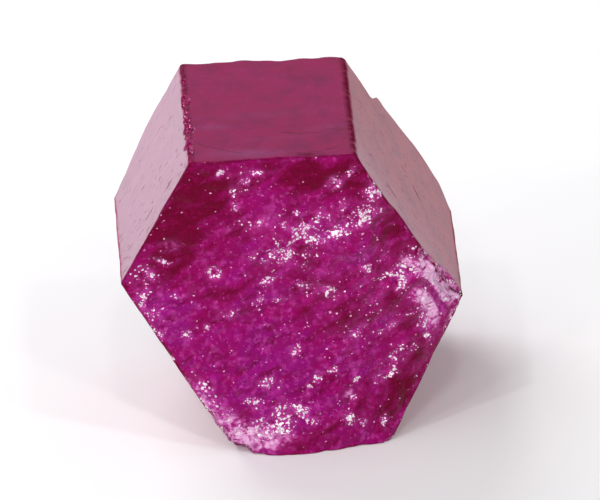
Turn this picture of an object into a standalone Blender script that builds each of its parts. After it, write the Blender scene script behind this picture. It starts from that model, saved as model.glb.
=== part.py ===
"""A stubby red beryl crystal, lying on one of its six long faces.

X runs across the crystal, Y runs along it with the rough end towards -Y, and Z is up.
The origin is on the resting face, below the prism's axis and halfway along its length.
Sizes are in millimetres, and each mesh is scaled to metres as it is made.
"""

import math

import bmesh
import bpy
import numpy as np
from mathutils import Euler, Matrix, Vector

MM = 0.001

# The prism: for each long face, the direction that it looks in (degrees, seen from the
# rough end, 0 towards +X and 90 up) and its distance from the axis.
AXIS_HEIGHT = 2.92
FACES = {
    "lower_right": (-30.0, 2.98),
    "upper_right": (30.0, 2.54),
    "top": (90.0, 2.92),
    "upper_left": (150.0, 3.02),
    "lower_left": (210.0, 2.45),
    "bottom": (270.0, AXIS_HEIGHT),
}
BLANK_LENGTH = 9.0
END_BLOCK_SIZE = 7.0

# The rough end: its general place on the axis, and how it falls back on the right.
ROUGH_Y = -2.97
SHOULDER_SLANT = 0.2
SHOULDER = ((0.9, 2.2, 0.26), (2.1, 3.6, 0.75))
ROUGH_CELLS = 58
ROUGH_FACETS = {"spacing": 0.62, "height": 0.05, "tilt": 0.15, "seed": 11}

# Ledges on the rough end: a point on the line, the line's direction in degrees, how far
# the side to its right drops back (a negative drop stands proud), how far the line sways
# and how far it runs each way from the point.
LEDGE_WIDTH = 0.12
LEDGES = (
    {"x": 1.70, "z": 1.55, "turn": 41.0, "drop": 0.09, "sway": 0.13, "run": 1.3},
    {"x": 2.20, "z": 0.05, "turn": 29.0, "drop": 0.08, "sway": 0.11, "run": 1.6},
    {"x": -0.90, "z": 0.20, "turn": 52.0, "drop": 0.06, "sway": 0.15, "run": 1.1},
    {"x": -0.10, "z": -2.20, "turn": 28.0, "drop": -0.13, "sway": 0.10, "run": 1.3},
)

# Shallow etched pits on the rough end: x, z, radius and depth.
ROUGH_PITS = (
    (-1.51, 0.65, 0.22, 0.06),
    (-2.36, 1.33, 0.30, 0.05),
    (0.54, 2.19, 0.28, 0.05),
    (0.91, -1.88, 0.30, 0.06),
    (-0.55, -0.70, 0.34, 0.05),
    (1.95, -1.35, 0.30, 0.05),
)

# The broken end: its general place, the terrace that stands further back on the lower
# right, the slope on the left and the worn corner on the right.
BROKEN_Y = 2.04
BROKEN_CELLS = 44
BROKEN_FACETS = {"spacing": 1.05, "height": 0.09, "tilt": 0.24, "seed": 23}
TERRACE = {"x": 1.84, "z": 1.88, "turn": 58.0, "drop": 0.68, "sway": 0.10, "run": 9.0}
TERRACE_WIDTH = 0.36
TERRACE_RISE = (0.2, 1.6, 0.30)
LEFT_SLOPE = (2.2, 4.0, 1.30)
RIGHT_CORNER = {"x": 3.19, "z": -0.44, "reach": 0.5, "drop": 0.70}

# Chips: where each is centred, its half sizes along X, Y and Z, its turn about X, Y and
# Z in degrees, and the seed of its rough surface.
CHIPS = (
    {"name": "right_corner_chip", "at": (3.90, -2.95, 2.75), "half": (1.30, 1.30, 1.30),
     "turn": (0.0, 8.0, -20.0), "seed": 3},
    {"name": "right_edge_chip", "at": (2.82, -2.92, 3.92), "half": (0.52, 0.50, 0.56),
     "turn": (0.0, -50.0, 15.0), "seed": 5},
    {"name": "lower_right_chip", "at": (1.95, -2.98, -0.22), "half": (0.46, 0.52, 0.48),
     "turn": (0.0, 30.0, 0.0), "seed": 7},
    {"name": "lower_left_chip", "at": (-1.52, -3.12, -0.42), "half": (0.78, 0.80, 0.72),
     "turn": (0.0, -38.0, 12.0), "seed": 9},
    {"name": "top_left_back_chip", "at": (-2.10, 2.45, 6.22), "half": (0.70, 0.55, 0.60),
     "turn": (10.0, 20.0, 0.0), "seed": 13},
    {"name": "left_back_chip", "at": (-3.62, 1.85, 3.46), "half": (0.62, 0.66, 0.70),
     "turn": (0.0, 0.0, 25.0), "seed": 15},
)
CHIP_ROUGHNESS = 0.035

# Nicks bitten out of the top left edge: place along Y, half length and depth.
NICKS = (
    (-2.30, 0.30, 0.055),
    (-1.95, 0.20, 0.080),
    (-1.30, 0.34, 0.095),
    (-0.48, 0.15, 0.045),
    (0.02, 0.30, 0.080),
    (0.30, 0.22, 0.060),
    (1.12, 0.18, 0.050),
)

BERYL = {"color": (0.36, 0.006, 0.13, 1.0), "roughness": 0.22, "ior": 1.577}


def clear_scene():
    """Remove every object, so that the model starts from nothing."""
    for thing in list(bpy.data.objects):
        bpy.data.objects.remove(thing, do_unlink=True)


def new_collection(name):
    """A collection of its own in the scene."""
    collection = bpy.data.collections.new(name)
    bpy.context.scene.collection.children.link(collection)
    return collection


def beryl_material():
    """The crystal's own glassy raspberry red."""
    material = bpy.data.materials.new("red_beryl")
    material.use_nodes = True
    shader = material.node_tree.nodes["Principled BSDF"]
    shader.inputs["Base Color"].default_value = BERYL["color"]
    shader.inputs["Roughness"].default_value = BERYL["roughness"]
    shader.inputs["IOR"].default_value = BERYL["ior"]
    shader.inputs["Transmission Weight"].default_value = 0.5
    return material


def ease(value, start, end):
    """0 up to start, 1 from end on, and a smooth rise between them."""
    share = np.clip((value - start) / (end - start), 0.0, 1.0)
    return share * share * (3.0 - 2.0 * share)


def cross_section():
    """The prism's corners as (x, z) from the axis: each where two faces' lines cross."""
    faces = [(math.radians(turn), reach) for turn, reach in FACES.values()]
    corners = []
    for (turn_a, reach_a), (turn_b, reach_b) in zip(faces, faces[1:] + faces[:1]):
        spread = math.sin(turn_b - turn_a)
        x = (reach_a * math.sin(turn_b) - reach_b * math.sin(turn_a)) / spread
        z = (reach_b * math.cos(turn_a) - reach_a * math.cos(turn_b)) / spread
        corners.append((x, z))
    return corners


def step_across(x, z, line, width):
    """A ledge: 0 on one side of a swaying line, its drop on the other.

    The drop fades out towards the ends of the line's run.
    """
    turn = math.radians(line["turn"])
    along = (x - line["x"]) * math.cos(turn) + (z - line["z"]) * math.sin(turn)
    across = (x - line["x"]) * math.sin(turn) - (z - line["z"]) * math.cos(turn)
    sway = line["sway"] * (np.sin(2.3 * along) + 0.6 * np.sin(5.9 * along + line["x"]))
    fade = 1.0 - ease(np.abs(along), 0.7 * line["run"], 1.5 * line["run"])
    return line["drop"] * fade * ease(across + sway, -0.5 * width, 0.5 * width)


def facets(x, z, spacing, height, tilt, seed):
    """Low cobbles with flat tops.

    Seeds lie on a jittered grid. Each carries a tilted, slightly domed plate, and at
    every point the plate that stands proudest wins, so plates meet in sharp creases.
    """
    chance = np.random.default_rng(seed)
    reach = 4.2
    steps = np.arange(-reach, reach + spacing, spacing)
    seed_x, seed_z = (grid.ravel() for grid in np.meshgrid(steps, steps))
    seed_x = seed_x + chance.uniform(-0.38, 0.38, seed_x.size) * spacing
    seed_z = seed_z + chance.uniform(-0.38, 0.38, seed_z.size) * spacing
    lift = chance.uniform(0.0, height, seed_x.size)
    lean_x = chance.uniform(-tilt, tilt, seed_x.size)
    lean_z = chance.uniform(-tilt, tilt, seed_x.size)
    off_x = x[:, None] - seed_x
    off_z = z[:, None] - seed_z
    dome = (off_x**2 + off_z**2) * height / (0.55 * spacing**2)
    plates = lift + lean_x * off_x + lean_z * off_z - dome
    return plates.max(axis=1) - 0.75 * height


def rough_end(x, z):
    """Where the rough end lies along Y: a shoulder, ledges, cobbles and pits."""
    y = np.full_like(x, ROUGH_Y)
    slant = x - SHOULDER_SLANT * z
    for start, end, drop in SHOULDER:
        y += drop * ease(slant, start, end)
    for ledge in LEDGES:
        y += step_across(x, z, ledge, LEDGE_WIDTH)
    for pit_x, pit_z, radius, depth in ROUGH_PITS:
        away = np.hypot(x - pit_x, z - pit_z)
        y += depth * (1.0 - ease(away, 0.35 * radius, radius))
    return y - facets(x, z, **ROUGH_FACETS)


def broken_end(x, z):
    """Where the broken end lies along Y: a terrace, a slope and a worn corner."""
    y = np.full_like(x, BROKEN_Y)
    y += step_across(x, z, TERRACE, TERRACE_WIDTH)
    turn = math.radians(TERRACE["turn"])
    past = (x - TERRACE["x"]) * math.sin(turn) - (z - TERRACE["z"]) * math.cos(turn)
    start, end, rise = TERRACE_RISE
    y += rise * ease(past, start, end)
    start, end, drop = LEFT_SLOPE
    y -= drop * ease(-x, start, end)
    away = np.hypot(x - RIGHT_CORNER["x"], z - RIGHT_CORNER["z"])
    y -= RIGHT_CORNER["drop"] * (1.0 - ease(away, 0.0, RIGHT_CORNER["reach"]))
    return y + facets(x, z, **BROKEN_FACETS)


def prism_blank(collection):
    """The six-sided prism, longer than the crystal, before its ends are cut."""
    outline = bpy.data.curves.new("prism_outline", "CURVE")
    outline.dimensions = "2D"
    outline.fill_mode = "BOTH"
    outline.extrude = 0.5 * BLANK_LENGTH * MM
    spline = outline.splines.new("POLY")
    corners = cross_section()
    spline.points.add(len(corners) - 1)
    for point, (x, z) in zip(spline.points, corners):
        point.co = (x * MM, z * MM, 0.0, 1.0)
    spline.use_cyclic_u = True
    source = bpy.data.objects.new("prism_outline", outline)
    source.rotation_euler = Euler((math.pi / 2, 0.0, 0.0))
    source.location = (0.0, 0.0, AXIS_HEIGHT * MM)
    collection.objects.link(source)
    bpy.context.view_layer.update()

    evaluated = source.evaluated_get(bpy.context.evaluated_depsgraph_get())
    mesh = bpy.data.meshes.new_from_object(evaluated)
    shape = bmesh.new()
    shape.from_mesh(mesh)
    bmesh.ops.remove_doubles(shape, verts=shape.verts, dist=1e-6)
    bmesh.ops.dissolve_limit(shape, angle_limit=1e-3, verts=shape.verts, edges=shape.edges)
    bmesh.ops.recalc_face_normals(shape, faces=shape.faces)
    shape.to_mesh(mesh)
    shape.free()
    mesh.name = "crystal"
    crystal = bpy.data.objects.new("crystal", mesh)
    crystal.matrix_world = source.matrix_world
    collection.objects.link(crystal)
    bpy.data.objects.remove(source, do_unlink=True)
    return crystal


def as_cutter(thing, collection):
    """Show an object as a wire only, and keep it among the cutters."""
    for owner in list(thing.users_collection):
        owner.objects.unlink(thing)
    collection.objects.link(thing)
    thing.display_type = "WIRE"
    thing.hide_render = True
    return thing


def end_cutter(name, surface, cells, far_y, collection):
    """A block whose near side is the given end surface and whose far side is flat.

    Its grid is turned so that its rows run along the ledges.
    """
    bpy.ops.mesh.primitive_grid_add(
        x_subdivisions=cells, y_subdivisions=cells, size=END_BLOCK_SIZE
    )
    cutter = bpy.context.object
    cutter.name = name
    mesh = cutter.data
    places = np.empty(len(mesh.vertices) * 3)
    mesh.vertices.foreach_get("co", places)
    across, up, _ = places.reshape(-1, 3).T
    turn = math.radians(LEDGES[0]["turn"])
    x = across * math.cos(turn) - up * math.sin(turn)
    z = across * math.sin(turn) + up * math.cos(turn)
    bent = np.column_stack((x, surface(x, z), z + AXIS_HEIGHT)) * MM
    mesh.vertices.foreach_set("co", bent.ravel())

    block = bmesh.new()
    block.from_mesh(mesh)
    pulled = bmesh.ops.extrude_face_region(block, geom=block.faces[:], use_keep_orig=True)
    for item in pulled["geom"]:
        if isinstance(item, bmesh.types.BMVert):
            item.co.y = far_y * MM
    bmesh.ops.recalc_face_normals(block, faces=block.faces)
    block.to_mesh(mesh)
    block.free()
    return as_cutter(cutter, collection)


def lump_cutter(name, at, half, turn, seed, collection, rings=4):
    """An uneven ball, stretched and turned, that takes out a shell-shaped chip."""
    lump = bmesh.new()
    bmesh.ops.create_icosphere(lump, subdivisions=rings, radius=1.0)
    chance = np.random.default_rng(seed)
    waves = chance.uniform(-4.0, 4.0, (5, 3))
    starts = chance.uniform(0.0, math.tau, 5)
    places = np.array([vertex.co for vertex in lump.verts])
    swell = np.sin(places @ waves.T + starts).sum(axis=1) * CHIP_ROUGHNESS
    for vertex, share in zip(lump.verts, swell):
        vertex.co *= 1.0 + share
    mesh = bpy.data.meshes.new(name)
    lump.to_mesh(mesh)
    lump.free()
    angles = Euler([math.radians(angle) for angle in turn])
    mesh.transform(Matrix.LocRotScale(Vector(at) * MM, angles, Vector(half) * MM))
    cutter = bpy.data.objects.new(name, mesh)
    return as_cutter(cutter, collection)


def nick_cutters(collection):
    """Small bites along the edge between the top and the upper left face."""
    edge_x, edge_z = cross_section()[2]
    inward = Vector((math.cos(math.radians(-60.0)), math.sin(math.radians(-60.0))))
    cutters = []
    for index, (y, half_length, depth) in enumerate(NICKS):
        radius = 2.2 * depth
        x = edge_x - inward.x * (radius - depth)
        z = edge_z - inward.y * (radius - depth) + AXIS_HEIGHT
        cutters.append(
            lump_cutter(f"edge_nick_{index}", (x, y, z), (radius, half_length, radius),
                        (0.0, 0.0, 0.0), 31 + index, collection, rings=2)
        )
    return cutters


def cut(crystal, cutter):
    """Take the cutter's space out of the crystal."""
    modifier = crystal.modifiers.new(cutter.name, "BOOLEAN")
    modifier.operation = "DIFFERENCE"
    modifier.solver = "EXACT"
    modifier.object = cutter


def build():
    """Model the crystal: a prism with its two ends, chips, nicks and pits cut."""
    clear_scene()
    crystals = new_collection("red_beryl_crystal")
    cutters = new_collection("cutters")
    crystal = prism_blank(crystals)
    crystal.data.materials.append(beryl_material())
    half = 0.5 * BLANK_LENGTH + 0.5
    cut(crystal, end_cutter("rough_end_block", rough_end, ROUGH_CELLS, -half, cutters))
    cut(crystal, end_cutter("broken_end_block", broken_end, BROKEN_CELLS, half, cutters))
    for chip in CHIPS:
        cut(crystal, lump_cutter(**chip, collection=cutters))
    for cutter in nick_cutters(cutters):
        cut(crystal, cutter)


build()
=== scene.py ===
"""A stubby red beryl crystal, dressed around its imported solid.

The crystal is a six-sided prism lying on one long face. X runs across it, Y along it
with the rough end towards -Y, and Z is up. Shapes are worked out in millimetres from
the prism's axis and are put into the mesh in metres.
"""

import logging
import math
from dataclasses import dataclass, field
from enum import Enum

import bmesh
import bpy
import numpy as np
from mathutils import Euler, Matrix, Vector


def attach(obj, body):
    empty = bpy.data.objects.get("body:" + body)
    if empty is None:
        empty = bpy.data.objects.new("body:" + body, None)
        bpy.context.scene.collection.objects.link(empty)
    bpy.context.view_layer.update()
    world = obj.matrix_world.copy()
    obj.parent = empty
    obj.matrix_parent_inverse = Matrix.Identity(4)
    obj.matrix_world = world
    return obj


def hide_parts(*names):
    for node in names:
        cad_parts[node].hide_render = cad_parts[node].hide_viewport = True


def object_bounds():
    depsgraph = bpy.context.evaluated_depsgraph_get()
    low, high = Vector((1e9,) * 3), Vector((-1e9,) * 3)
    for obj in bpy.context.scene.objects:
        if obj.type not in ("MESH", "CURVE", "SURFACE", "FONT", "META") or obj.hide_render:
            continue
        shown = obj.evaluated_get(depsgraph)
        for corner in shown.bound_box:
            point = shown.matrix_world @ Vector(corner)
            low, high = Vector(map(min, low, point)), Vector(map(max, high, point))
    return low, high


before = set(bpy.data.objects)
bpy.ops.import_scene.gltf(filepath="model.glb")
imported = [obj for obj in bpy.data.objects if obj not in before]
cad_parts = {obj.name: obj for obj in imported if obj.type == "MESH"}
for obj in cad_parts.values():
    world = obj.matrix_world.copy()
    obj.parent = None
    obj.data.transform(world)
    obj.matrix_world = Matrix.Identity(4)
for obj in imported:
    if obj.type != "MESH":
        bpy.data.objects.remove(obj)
CAD_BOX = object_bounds()

MM = 0.001
SIDES = 6
LOG = logging.getLogger("red_beryl")

Numbers = np.ndarray
Triple = tuple[float, float, float]
Socket = bpy.types.NodeSocket


def ease(value: Numbers, start: float, end: float) -> Numbers:
    """Smooth rise: 0 up to start, 1 from end on, and 3t^2 - 2t^3 in between.

    Args:
        value: the numbers to grade.
        start: where the rise begins.
        end: where the rise is complete.

    Returns:
        Shares between 0 and 1, one for each value.
    """
    share = np.clip((value - start) / (end - start), 0.0, 1.0)
    return share * share * (3.0 - 2.0 * share)


def ripple(points: Numbers, frequency: float, seed: int, waves: int = 7) -> Numbers:
    """Seeded unevenness: the mean of sines along random directions, about -1 to 1.

    Args:
        points: places in millimetres, one row each.
        frequency: typical turns of phase (radians) in a millimetre.
        seed: seed of the directions, lengths and starts of the waves.
        waves: how many sines are added.

    Returns:
        One number for each point.
    """
    chance = np.random.default_rng(seed)
    ways = chance.normal(size=(waves, points.shape[1]))
    ways /= np.linalg.norm(ways, axis=1, keepdims=True)
    ways *= frequency * chance.uniform(0.55, 1.6, (waves, 1))
    starts = chance.uniform(0.0, math.tau, waves)
    return np.sin(points @ ways.T + starts).sum(axis=1) / math.sqrt(2.0 * waves)


def along_and_across(
    x: Numbers, z: Numbers, spot: tuple[float, float], degrees: float
) -> tuple[Numbers, Numbers]:
    """Measure places along a line that climbs by an angle, and to its lower side.

    Args:
        x: places across the end.
        z: places up the end.
        spot: where the line starts.
        degrees: how steeply the line climbs.

    Returns:
        The distances along the line, and those across it.
    """
    turn = math.radians(degrees)
    off_x, off_z = x - spot[0], z - spot[1]
    along = off_x * math.cos(turn) + off_z * math.sin(turn)
    return along, off_x * math.sin(turn) - off_z * math.cos(turn)


def placed(name: str, data: bpy.types.ID) -> bpy.types.Object:
    """Put a new object in the scene.

    Args:
        name: the object's name.
        data: the mesh, lamp or camera that it holds.

    Returns:
        The object, at the origin.
    """
    thing = bpy.data.objects.new(name, data)
    bpy.context.scene.collection.objects.link(thing)
    return thing


@dataclass(frozen=True)
class Plates:
    """A field of small tilted plates that meet in sharp creases, like rough crystal.

    Seeds lie on a jittered grid. Each carries a tilted, slightly domed plate, and at
    every point the plate that stands proudest wins. A rise tilts them all to face up.
    """

    spacing: float
    height: float
    tilt: float
    seed: int
    rise: float = 0.0
    flatness: float = 0.55
    reach: float = 4.2
    jitter: float = 0.38
    level: float = 0.75

    def proud(self, x: Numbers, z: Numbers) -> Numbers:
        """Height of the plates: max over near seeds of lift + lean * offset - dome.

        Args:
            x: places across the field.
            z: places up the field.

        Returns:
            How far each place stands proud, in millimetres, about a zero mean.
        """
        chance = np.random.default_rng(self.seed)
        steps = np.arange(-self.reach, self.reach + self.spacing, self.spacing)
        count = steps.size
        seed_x, seed_z = (grid.ravel() for grid in np.meshgrid(steps, steps))
        seed_x = seed_x + chance.uniform(-self.jitter, self.jitter, seed_x.size) * self.spacing
        seed_z = seed_z + chance.uniform(-self.jitter, self.jitter, seed_z.size) * self.spacing
        lift = chance.uniform(0.0, self.height, seed_x.size)
        lean_x = chance.uniform(-self.tilt, self.tilt, seed_x.size)
        lean_z = chance.uniform(-self.tilt, self.tilt, seed_x.size) - self.rise
        dome = self.height / (self.flatness * self.spacing**2)
        column = np.rint((x + self.reach) / self.spacing).astype(int)
        row = np.rint((z + self.reach) / self.spacing).astype(int)
        best = np.full(x.shape, -np.inf)
        for right in range(-2, 3):
            for up in range(-2, 3):
                near = np.clip(row + up, 0, count - 1) * count
                near += np.clip(column + right, 0, count - 1)
                off_x = x - seed_x[near]
                off_z = z - seed_z[near]
                plate = lift[near] + lean_x[near] * off_x + lean_z[near] * off_z
                best = np.maximum(best, plate - dome * (off_x**2 + off_z**2))
        return best - self.level * self.height


@dataclass(frozen=True)
class Ledge:
    """A step along a swaying line: past it the surface drops back.

    The line passes its x and z and climbs by its turn, in degrees.
    """

    x: float
    z: float
    turn: float
    drop: float
    sway: float
    run: float

    def depth(self, x: Numbers, z: Numbers, width: float) -> Numbers:
        """Drop of the step, eased over its width and fading out at the line's ends.

        At s along the line it sways by sway * (sin 2.3s + 0.6 sin (5.9s + x)), and it
        fades between 0.7 and 1.5 of its run from the middle.

        Args:
            x: places across the end.
            z: places up the end.
            width: how wide the step's slope is.

        Returns:
            Millimetres of drop for each place.
        """
        along, across = along_and_across(x, z, (self.x, self.z), self.turn)
        sway = self.sway * (np.sin(2.3 * along) + 0.6 * np.sin(5.9 * along + self.x))
        fade = 1.0 - ease(np.abs(along), 0.7 * self.run, 1.5 * self.run)
        return self.drop * fade * ease(across + sway, -0.5 * width, 0.5 * width)


@dataclass(frozen=True)
class Patch:
    """An oval patch on an end: its middle, half sizes, turn and strength.

    On the top face its z is a place along Y.
    """

    x: float
    z: float
    half_long: float
    half_wide: float
    turn: float = 0.0
    strength: float = 1.0

    def share(self, x: Numbers, z: Numbers) -> Numbers:
        """Weight of the patch: strength * exp(-r^2), r being 1 on the oval's rim.

        Args:
            x: places across the end.
            z: places up the end.

        Returns:
            One weight for each place.
        """
        along, across = along_and_across(x, z, (self.x, self.z), self.turn)
        radius = (along / self.half_long) ** 2 + (across / self.half_wide) ** 2
        return self.strength * np.exp(-radius)


@dataclass(frozen=True)
class Bite:
    """An uneven ball outside the crystal that takes a shell-shaped piece out of it."""

    at: Triple
    half: Triple
    turn: Triple
    seed: int
    ribs: float = 0.0
    unevenness: float = 0.035
    waves: int = 5
    pace: float = 4.0
    rib_pitch: float = 0.055

    def push(self, points: Numbers) -> tuple[Numbers, Numbers]:
        """Push every point that lies in the ball out to the ball's skin.

        In the ball's own frame a point at distance r from its middle is bitten when r
        is under 1 + unevenness * (sum of seeded sines, and of the same sines at four
        times the pace and a third of the height), and moves out to there. Ribs add rings
        round the place where the blow fell.

        Args:
            points: places in millimetres above the resting face, one row each.

        Returns:
            The moved points, and which of them were bitten (0 or 1).
        """
        chance = np.random.default_rng(self.seed)
        waves = chance.uniform(-self.pace, self.pace, (self.waves, 3))
        starts = chance.uniform(0.0, math.tau, self.waves)
        angles = Euler([math.radians(angle) for angle in self.turn])
        axes = np.array(Matrix.LocRotScale(None, angles, Vector(self.half)).to_3x3())
        local = (points - np.array(self.at)) @ np.linalg.inv(axes).T
        radius = np.linalg.norm(local, axis=1)
        way = local / np.maximum(radius, 1e-9)[:, None]
        skin = 1.0 + self.unevenness * np.sin(way @ waves.T + starts).sum(axis=1)
        skin += self.unevenness / 3.0 * np.sin(4.0 * way @ waves.T - starts).sum(axis=1)
        focus = way[np.argmin(radius)] if len(radius) else way
        rings = np.linalg.norm(way - focus, axis=1) / self.rib_pitch
        skin += self.ribs * np.sin(rings + 0.8 * np.sin(3.1 * way[:, 2] + starts[0]))
        bitten = radius < skin
        moved = (way * skin[:, None]) @ axes.T + np.array(self.at)
        return np.where(bitten[:, None], moved, points), bitten.astype(float)


@dataclass(frozen=True)
class Prism:
    """The six long faces: for each, its direction in degrees and reach from the axis."""

    axis_height: float = 2.92
    faces: tuple[tuple[float, float], ...] = (
        (-30.0, 2.98),
        (30.0, 2.54),
        (90.0, 2.92),
        (150.0, 3.02),
        (210.0, 2.45),
        (270.0, 2.92),
    )

    def normals(self) -> Numbers:
        """Outward directions of the faces as rows (x, z)."""
        turns = np.radians([turn for turn, _ in self.faces])
        return np.column_stack((np.cos(turns), np.sin(turns)))

    def reaches(self) -> Numbers:
        """Distances of the faces from the axis."""
        return np.array([reach for _, reach in self.faces])

    def corners(self) -> Numbers:
        """Where each face's line crosses the next one's: solve n . p = reach for both.

        Returns:
            The corners as rows (x, z), measured from the axis.
        """
        normals, reaches = self.normals(), self.reaches()
        pairs = [[index, (index + 1) % SIDES] for index in range(SIDES)]
        return np.array([np.linalg.solve(normals[pair], reaches[pair]) for pair in pairs])

    def inside(self, x: Numbers, z: Numbers) -> Numbers:
        """How far each place lies inside each face's plane, one column for each face."""
        return self.reaches() - np.column_stack((x, z)) @ self.normals().T


@dataclass(frozen=True)
class RoughEnd:
    """The etched end: a shoulder, ledges, cobbles, pits and a fine glittering grain.

    Each slope of the shoulder has a start, an end and a drop. Each pit has its place,
    radius and depth.
    """

    place: float = -2.96
    slant: float = 0.2
    shoulder: tuple[Triple, ...] = ((0.9, 2.2, 0.26), (2.1, 3.6, 0.75))
    ledge_width: float = 0.26
    ledges: tuple[Ledge, ...] = (
        Ledge(1.70, 1.55, 41.0, 0.09, 0.13, 1.3),
        Ledge(2.20, 0.05, 29.0, 0.08, 0.11, 1.6),
        Ledge(-0.90, 0.20, 52.0, 0.06, 0.15, 1.1),
        Ledge(-0.10, -2.20, 28.0, -0.13, 0.10, 1.3),
    )
    pits: tuple[tuple[float, float, float, float], ...] = (
        (-1.43, 0.72, 0.18, 0.06),
        (-2.22, 1.27, 0.28, 0.03),
        (0.85, 2.39, 0.15, 0.03),
        (0.99, -1.86, 0.28, 0.05),
        (-0.55, -0.70, 0.34, 0.05),
        (1.95, -1.35, 0.30, 0.05),
    )
    raggedness: float = 0.05
    cobbles: Plates = Plates(0.62, 0.05, 0.15, 11)
    grain: Plates = Plates(0.17, 0.014, 0.20, 17, 0.04)
    crystallites: Plates = Plates(0.085, 0.014, 0.26, 19, 0.10)
    # Where the glitter is thick, the finish also paints glints and their glow into the colour.
    glitter: tuple[Patch, ...] = (
        Patch(-1.25, 2.70, 0.10, 0.06, 80.0, 2.0),
        Patch(-0.65, 2.65, 0.20, 0.05, 0.0, 1.7),
        Patch(-0.75, 2.45, 0.16, 0.12, 30.0, 1.8),
        Patch(-1.05, 2.20, 0.20, 0.06, 90.0, 1.0),
        Patch(-1.05, 1.60, 0.18, 0.05, 30.0, 1.7),
        Patch(-0.50, 1.65, 0.26, 0.12, 20.0, 0.7),
        Patch(0.15, 1.40, 0.15, 0.12, 40.0, 1.8),
        Patch(-0.15, 1.05, 0.15, 0.12, 20.0, 1.8),
        Patch(0.40, 1.25, 0.18, 0.08, 0.0, 1.6),
        Patch(0.40, 1.65, 0.24, 0.12, 50.0, 1.4),
        Patch(0.00, 1.25, 0.50, 0.25, 40.0, 0.5),
        Patch(0.85, 1.40, 0.18, 0.10, 10.0, 1.4),
        Patch(1.30, 1.70, 0.32, 0.18, 25.0, 1.7),
        Patch(0.95, 1.90, 0.12, 0.10, 60.0, 1.3),
        Patch(0.85, 2.40, 0.10, 0.10, 0.0, 1.9),
        Patch(1.25, 2.60, 0.20, 0.08, 20.0, 1.6),
        Patch(1.55, 2.20, 0.18, 0.12, 60.0, 2.0),
        Patch(-2.40, 1.00, 0.14, 0.04, -30.0, 1.8),
        Patch(-1.43, 0.71, 0.10, 0.08, -20.0, 4.4),
        Patch(-1.43, 0.71, 0.06, 0.045, -20.0, -5.6),
        Patch(-0.45, 0.50, 0.14, 0.05, 25.0, 2.2),
        Patch(-0.65, 0.95, 0.20, 0.10, 0.0, 0.9),
        Patch(-0.40, 0.10, 0.30, 0.06, 0.0, 1.3),
        Patch(-1.15, -0.15, 0.14, 0.12, 0.0, 1.0),
        Patch(-2.65, 0.70, 0.22, 0.14, -40.0, 1.2),
        Patch(-2.70, 0.20, 0.34, 0.20, -60.0, 1.2),
        Patch(-2.10, 0.30, 0.20, 0.05, 0.0, 1.3),
        Patch(-2.45, -0.45, 0.10, 0.07, -60.0, 2.2),
        Patch(-1.95, -0.50, 0.10, 0.10, 0.0, 1.5),
        Patch(1.40, 0.60, 0.10, 0.10, 30.0, 3.0),
        Patch(2.00, 0.35, 0.26, 0.18, 20.0, 1.2),
        Patch(0.30, 0.30, 0.12, 0.10, 0.0, 2.4),
        Patch(0.70, 0.25, 0.18, 0.12, 0.0, 1.4),
        Patch(1.20, -0.65, 0.20, 0.10, 40.0, 1.7),
        Patch(1.75, -0.70, 0.20, 0.08, 20.0, 1.8),
        Patch(2.20, -0.40, 0.18, 0.07, 20.0, 1.5),
        Patch(2.45, -0.80, 0.28, 0.10, 90.0, 1.2),
        Patch(2.35, 0.75, 0.20, 0.08, -45.0, 1.4),
        Patch(2.60, 0.20, 0.40, 0.14, -48.0, 1.3),
        Patch(2.45, -0.20, 0.26, 0.20, -48.0, 1.2),
        Patch(1.95, -1.30, 0.40, 0.14, 35.0, 1.0),
        Patch(1.70, -1.65, 0.20, 0.08, 10.0, 1.5),
        Patch(0.00, -0.95, 0.20, 0.10, 70.0, 0.8),
        Patch(0.40, -1.50, 0.07, 0.07, 0.0, 3.4),
        Patch(0.70, -1.35, 0.12, 0.05, 15.0, 1.8),
        Patch(-0.50, -1.60, 0.16, 0.10, -20.0, 2.0),
        Patch(-0.75, -1.90, 0.16, 0.08, -20.0, 1.9),
        Patch(0.15, -2.15, 0.20, 0.14, -25.0, 2.2),
        Patch(-0.20, -2.15, 0.24, 0.15, 30.0, 2.2),
        Patch(-0.25, -2.50, 0.14, 0.10, 20.0, 2.2),
        Patch(-0.60, -2.45, 0.24, 0.16, 0.0, 2.2),
        Patch(-1.10, -2.40, 0.20, 0.12, -30.0, 1.4),
        Patch(-1.60, -1.70, 0.48, 0.09, -58.0, 1.5),
        Patch(0.95, -2.30, 0.12, 0.10, 90.0, 1.5),
        Patch(1.20, -2.45, 0.10, 0.10, -30.0, 1.3),
        Patch(1.65, -2.50, 0.10, 0.07, 90.0, 2.2),
        Patch(1.55, 0.15, 1.0, 0.8, 20.0, 0.25),
        Patch(0.20, 0.90, 0.8, 0.5, 30.0, 0.25),
    )
    lone_count: int = 24
    lone_size: float = 0.055
    lone_strength: float = 2.3
    lone_seed: int = 83
    lone_reach: float = 2.8
    thickest: float = 2.4
    rag_paces: tuple[float, float] = (13.0, 40.0)

    def glint(self, x: Numbers, z: Numbers) -> Numbers:
        """How thick the glittering crystallites stand.

        The patches' weights are summed, with those of small lone glints that a seeded
        draw scatters evenly over a disc: radius lone_reach * sqrt(draw).

        Args:
            x: places across the end.
            z: places up the end.

        Returns:
            A thickness from 0 to the thickest for each place.
        """
        chance = np.random.default_rng(self.lone_seed)
        away = self.lone_reach * np.sqrt(chance.uniform(0.0, 1.0, self.lone_count))
        turns = chance.uniform(0.0, math.tau, self.lone_count)
        total = sum(patch.share(x, z) for patch in self.glitter)
        for reach, turn in zip(away, turns):
            spot = (reach * math.cos(turn), reach * math.sin(turn))
            lone = Patch(*spot, self.lone_size, self.lone_size, 0.0, self.lone_strength)
            total = total + lone.share(x, z)
        return np.clip(total, 0.0, self.thickest)

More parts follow.
